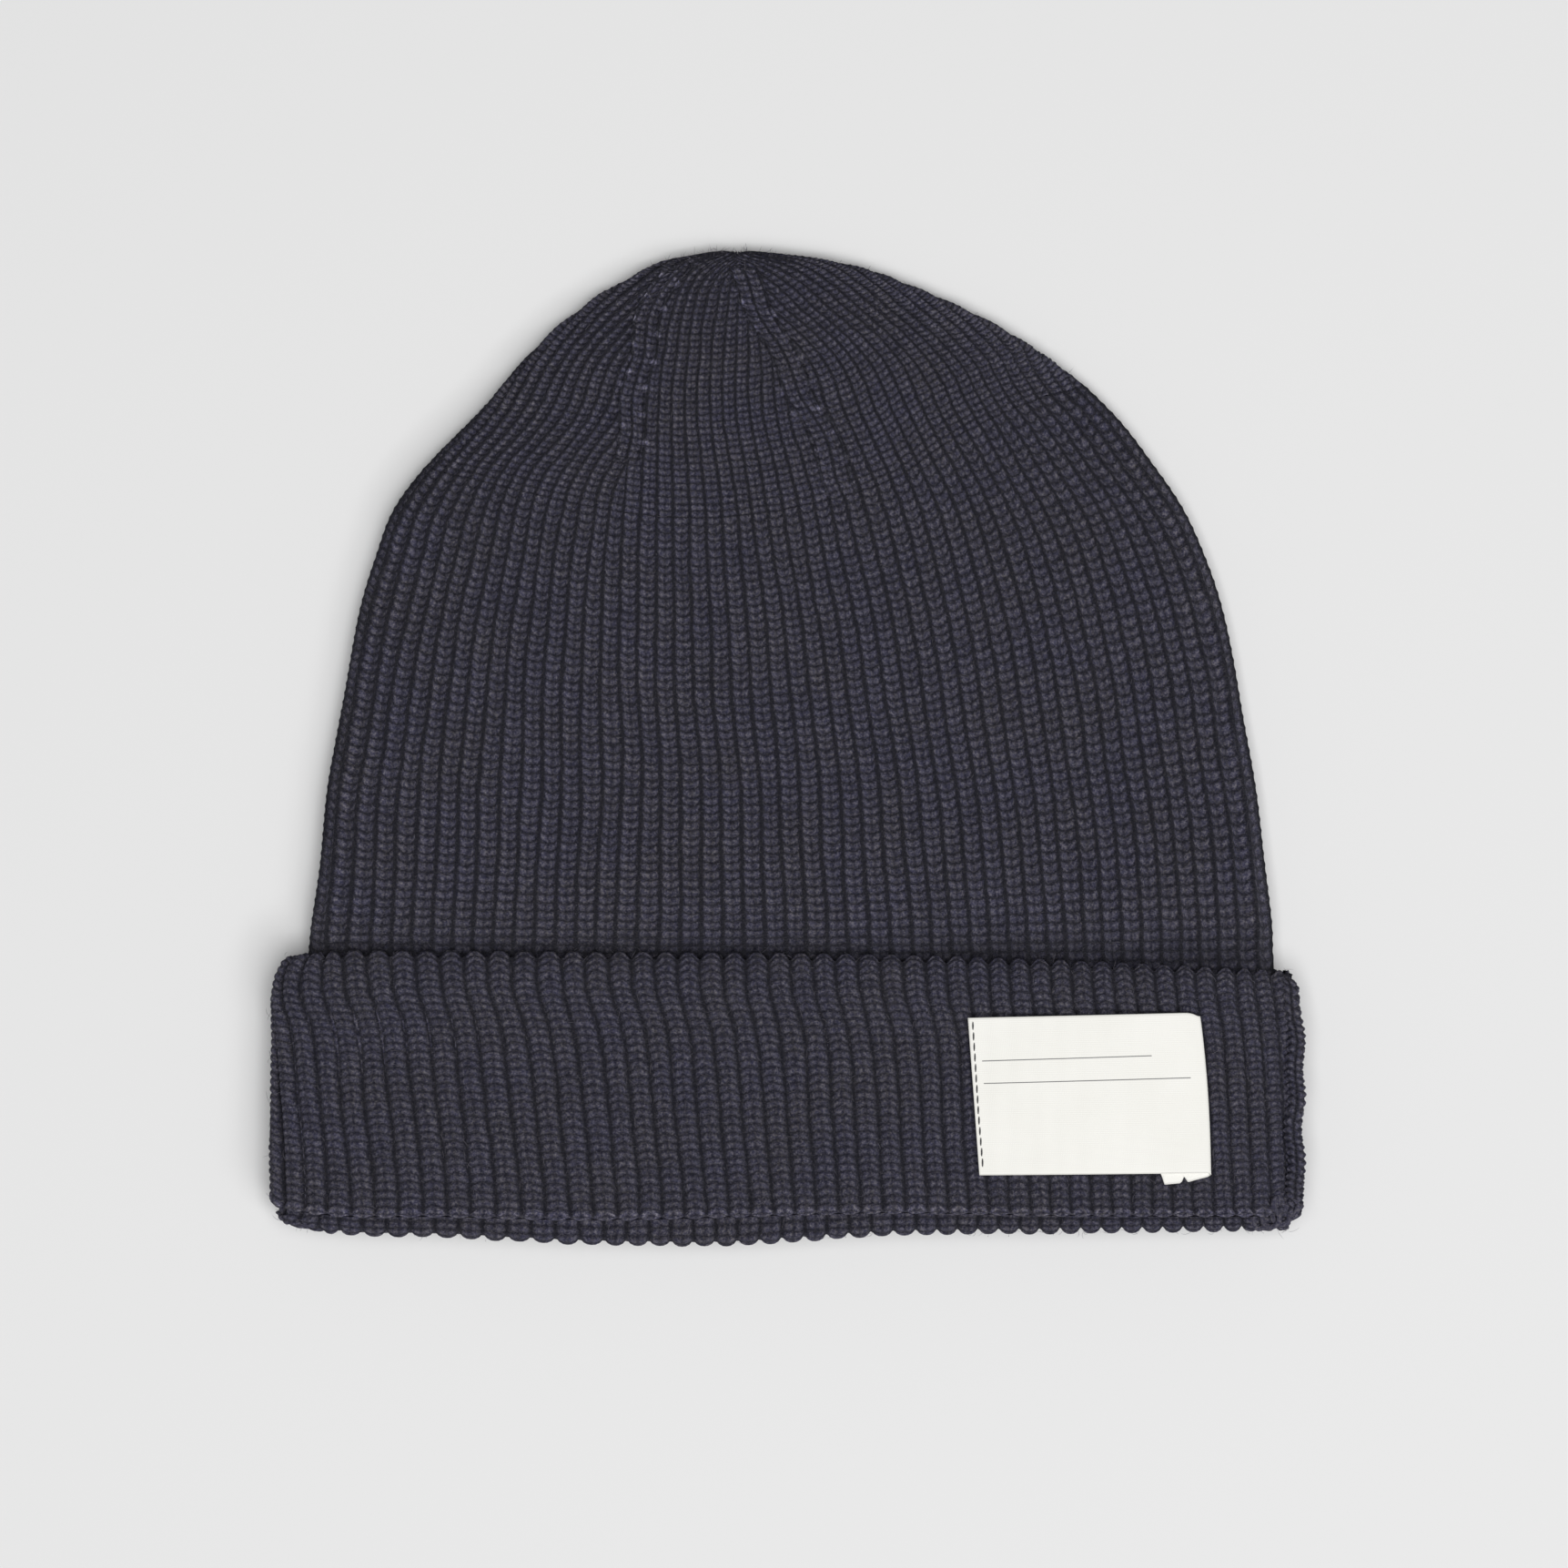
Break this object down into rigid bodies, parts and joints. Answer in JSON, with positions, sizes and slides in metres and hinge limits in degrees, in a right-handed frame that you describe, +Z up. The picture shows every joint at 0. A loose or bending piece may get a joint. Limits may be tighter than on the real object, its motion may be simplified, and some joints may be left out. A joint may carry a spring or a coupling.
{
  "type": "watch cap",
  "caption": "Rib-knit watch cap lying flat on its back, with a turned-up double cuff, a linked side seam and a blank folded tape label on the front of the cuff.",
  "frame": {"origin": "centre of the cap's outline, on the surface that it lies on", "axes": "+X across the cap towards the side seam, +Y from the open mouth to the crown tip, +Z up out of the front face"},
  "size_m": [0.2271, 0.218, 0.0257],
  "materials": {
    "ribbed_wool": "rib-knitted dark navy charcoal wool, matt, slightly fuzzy, with faint blue and brown mottling",
    "label_tape": "off-white woven tape, plain apart from two thin ruled lines"
  },
  "bodies": {
    "root": {"crown": "ribbed_wool", "cuff": "ribbed_wool", "side_seam": "ribbed_wool", "label": "label_tape"}
  },
  "joints": []
}
